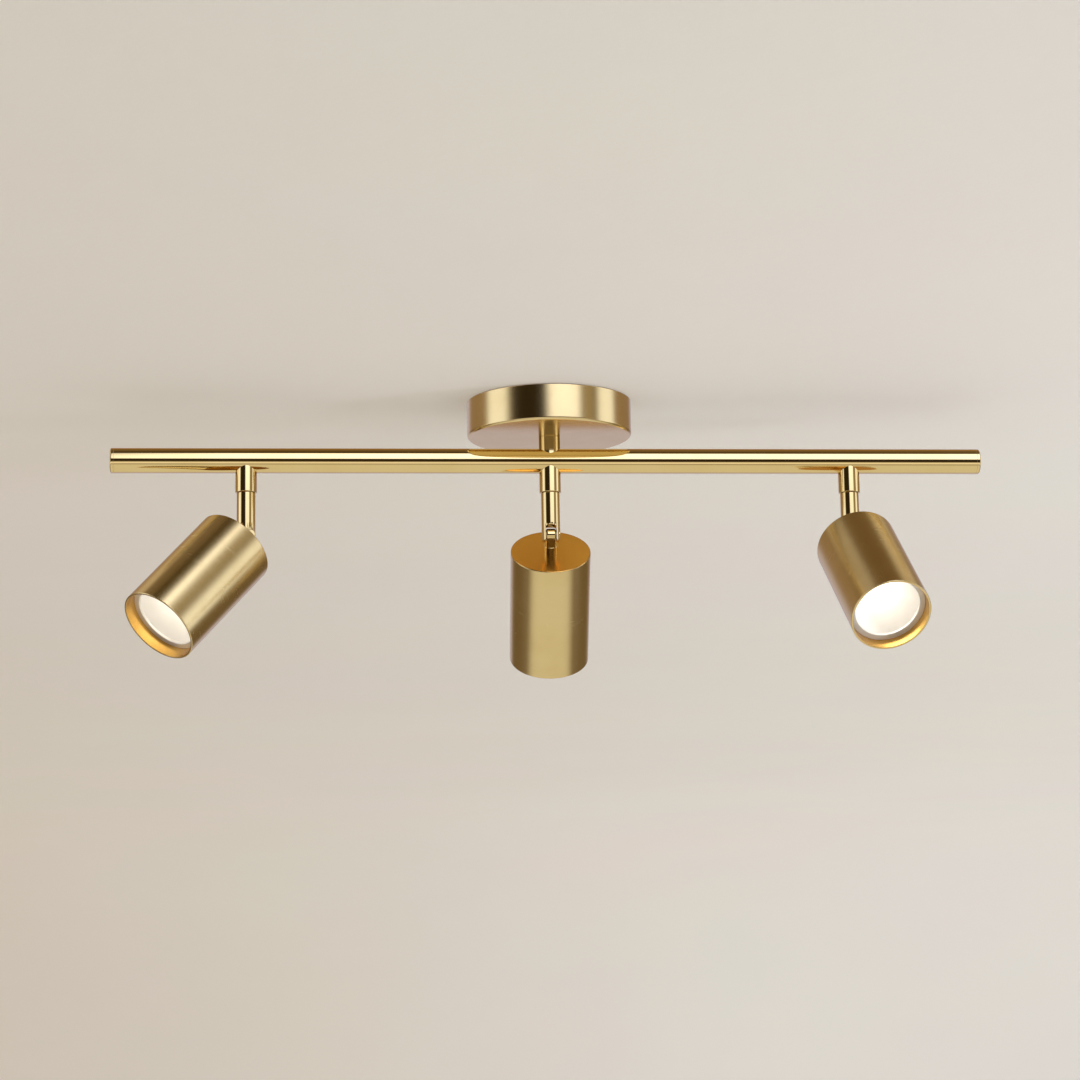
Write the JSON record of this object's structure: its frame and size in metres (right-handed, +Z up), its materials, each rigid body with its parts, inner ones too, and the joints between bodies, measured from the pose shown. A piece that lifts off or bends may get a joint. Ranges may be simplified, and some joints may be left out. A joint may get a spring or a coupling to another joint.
{
  "type": "ceiling spot bar light",
  "caption": "Ceiling bar light in brass: round canopy, short stem, long round bar and cylindrical spot heads that swivel and tilt on forked arms.",
  "frame": {"origin": "on the ceiling plane, in line with the stem, midway between the strap's two slots", "axes": "+Z up into the ceiling, X along the bar, -Y towards the side the outer heads face at rest"},
  "size_m": [0.61, 0.18, 0.1893],
  "materials": {
    "satin_brass": "satin, fine circular grain, lacquered",
    "polished_brass": "polished, lacquered",
    "zinc_steel": "zinc plated",
    "earth_green": "green plated",
    "driver_white": "moulded, matte",
    "block_white": "moulded, semi-matte",
    "lead_white": "extruded sleeve, matte",
    "washer_nylon": "natural nylon",
    "bare_aluminium": "as machined, fine turned lines",
    "reflector_white": "moulded matte white, lit",
    "lens_opal": "opal diffuser, lit",
    "board_white": "white solder mask on aluminium"
  },
  "bodies": {
    "root": {"bar": "polished_brass", "bar_end_left": "polished_brass", "bar_end_right": "polished_brass", "bar_harness": "lead_white", "canopy": "satin_brass", "canopy_screws": "satin_brass", "ceiling_strap": "zinc_steel", "driver_lead": "lead_white", "ferrule_centre": "polished_brass", "ferrule_left": "polished_brass", "ferrule_right": "polished_brass", "ground_screw": "earth_green", "led_driver": "driver_white", "stem": "polished_brass", "stem_nut": "zinc_steel", "stop_pins": "zinc_steel", "swivel_bolts": "zinc_steel", "terminal_block": "block_white", "wave_washers": "zinc_steel"},
    "arm_left": {"arm_left": "polished_brass", "pivot_screw_left": "polished_brass", "pivot_washers_left": "washer_nylon"},
    "head_left": {"diffuser_left": "lens_opal", "head_lead_left": "lead_white", "heat_sink_left": "bare_aluminium", "knuckle_left": "polished_brass", "led_board_left": "board_white", "reflector_left": "reflector_white", "retaining_ring_left": "bare_aluminium", "shell_left": "satin_brass", "stud_nut_left": "zinc_steel"},
    "arm_centre": {"arm_centre": "polished_brass", "pivot_screw_centre": "polished_brass", "pivot_washers_centre": "washer_nylon"},
    "head_centre": {"diffuser_centre": "lens_opal", "head_lead_centre": "lead_white", "heat_sink_centre": "bare_aluminium", "knuckle_centre": "polished_brass", "led_board_centre": "board_white", "reflector_centre": "reflector_white", "retaining_ring_centre": "bare_aluminium", "shell_centre": "satin_brass", "stud_nut_centre": "zinc_steel"},
    "arm_right": {"arm_right": "polished_brass", "pivot_screw_right": "polished_brass", "pivot_washers_right": "washer_nylon"},
    "head_right": {"diffuser_right": "lens_opal", "head_lead_right": "lead_white", "heat_sink_right": "bare_aluminium", "knuckle_right": "polished_brass", "led_board_right": "board_white", "reflector_right": "reflector_white", "retaining_ring_right": "bare_aluminium", "shell_right": "satin_brass", "stud_nut_right": "zinc_steel"}
  },
  "joints": [
    {"name": "pan_left", "type": "hinge", "parent": "root", "child": "arm_left", "pos_m": [-0.2115, 0, -0.0649], "axis": [0, 0, 1], "range_deg": [-113, 217]},
    {"name": "tilt_left", "type": "hinge", "parent": "arm_left", "child": "head_left", "pos_m": [-0.2115, 0, -0.0945], "axis": [-0.6157, 0.788, 0], "range_deg": [-136, 44]},
    {"name": "pan_centre", "type": "hinge", "parent": "root", "child": "arm_centre", "pos_m": [0, 0, -0.0649], "axis": [0, 0, 1], "range_deg": [-162.5, 167.5]},
    {"name": "tilt_centre", "type": "hinge", "parent": "arm_centre", "child": "head_centre", "pos_m": [0, 0, -0.0945], "axis": [-0.999, 0.0436, 0], "range_deg": [-49, 131]},
    {"name": "pan_right", "type": "hinge", "parent": "root", "child": "arm_right", "pos_m": [0.2115, 0, -0.0649], "axis": [0, 0, 1], "range_deg": [-174, 156]},
    {"name": "tilt_right", "type": "hinge", "parent": "arm_right", "child": "head_right", "pos_m": [0.2115, 0, -0.0945], "axis": [-0.9877, -0.1564, 0], "range_deg": [-137, 43]}
  ]
}
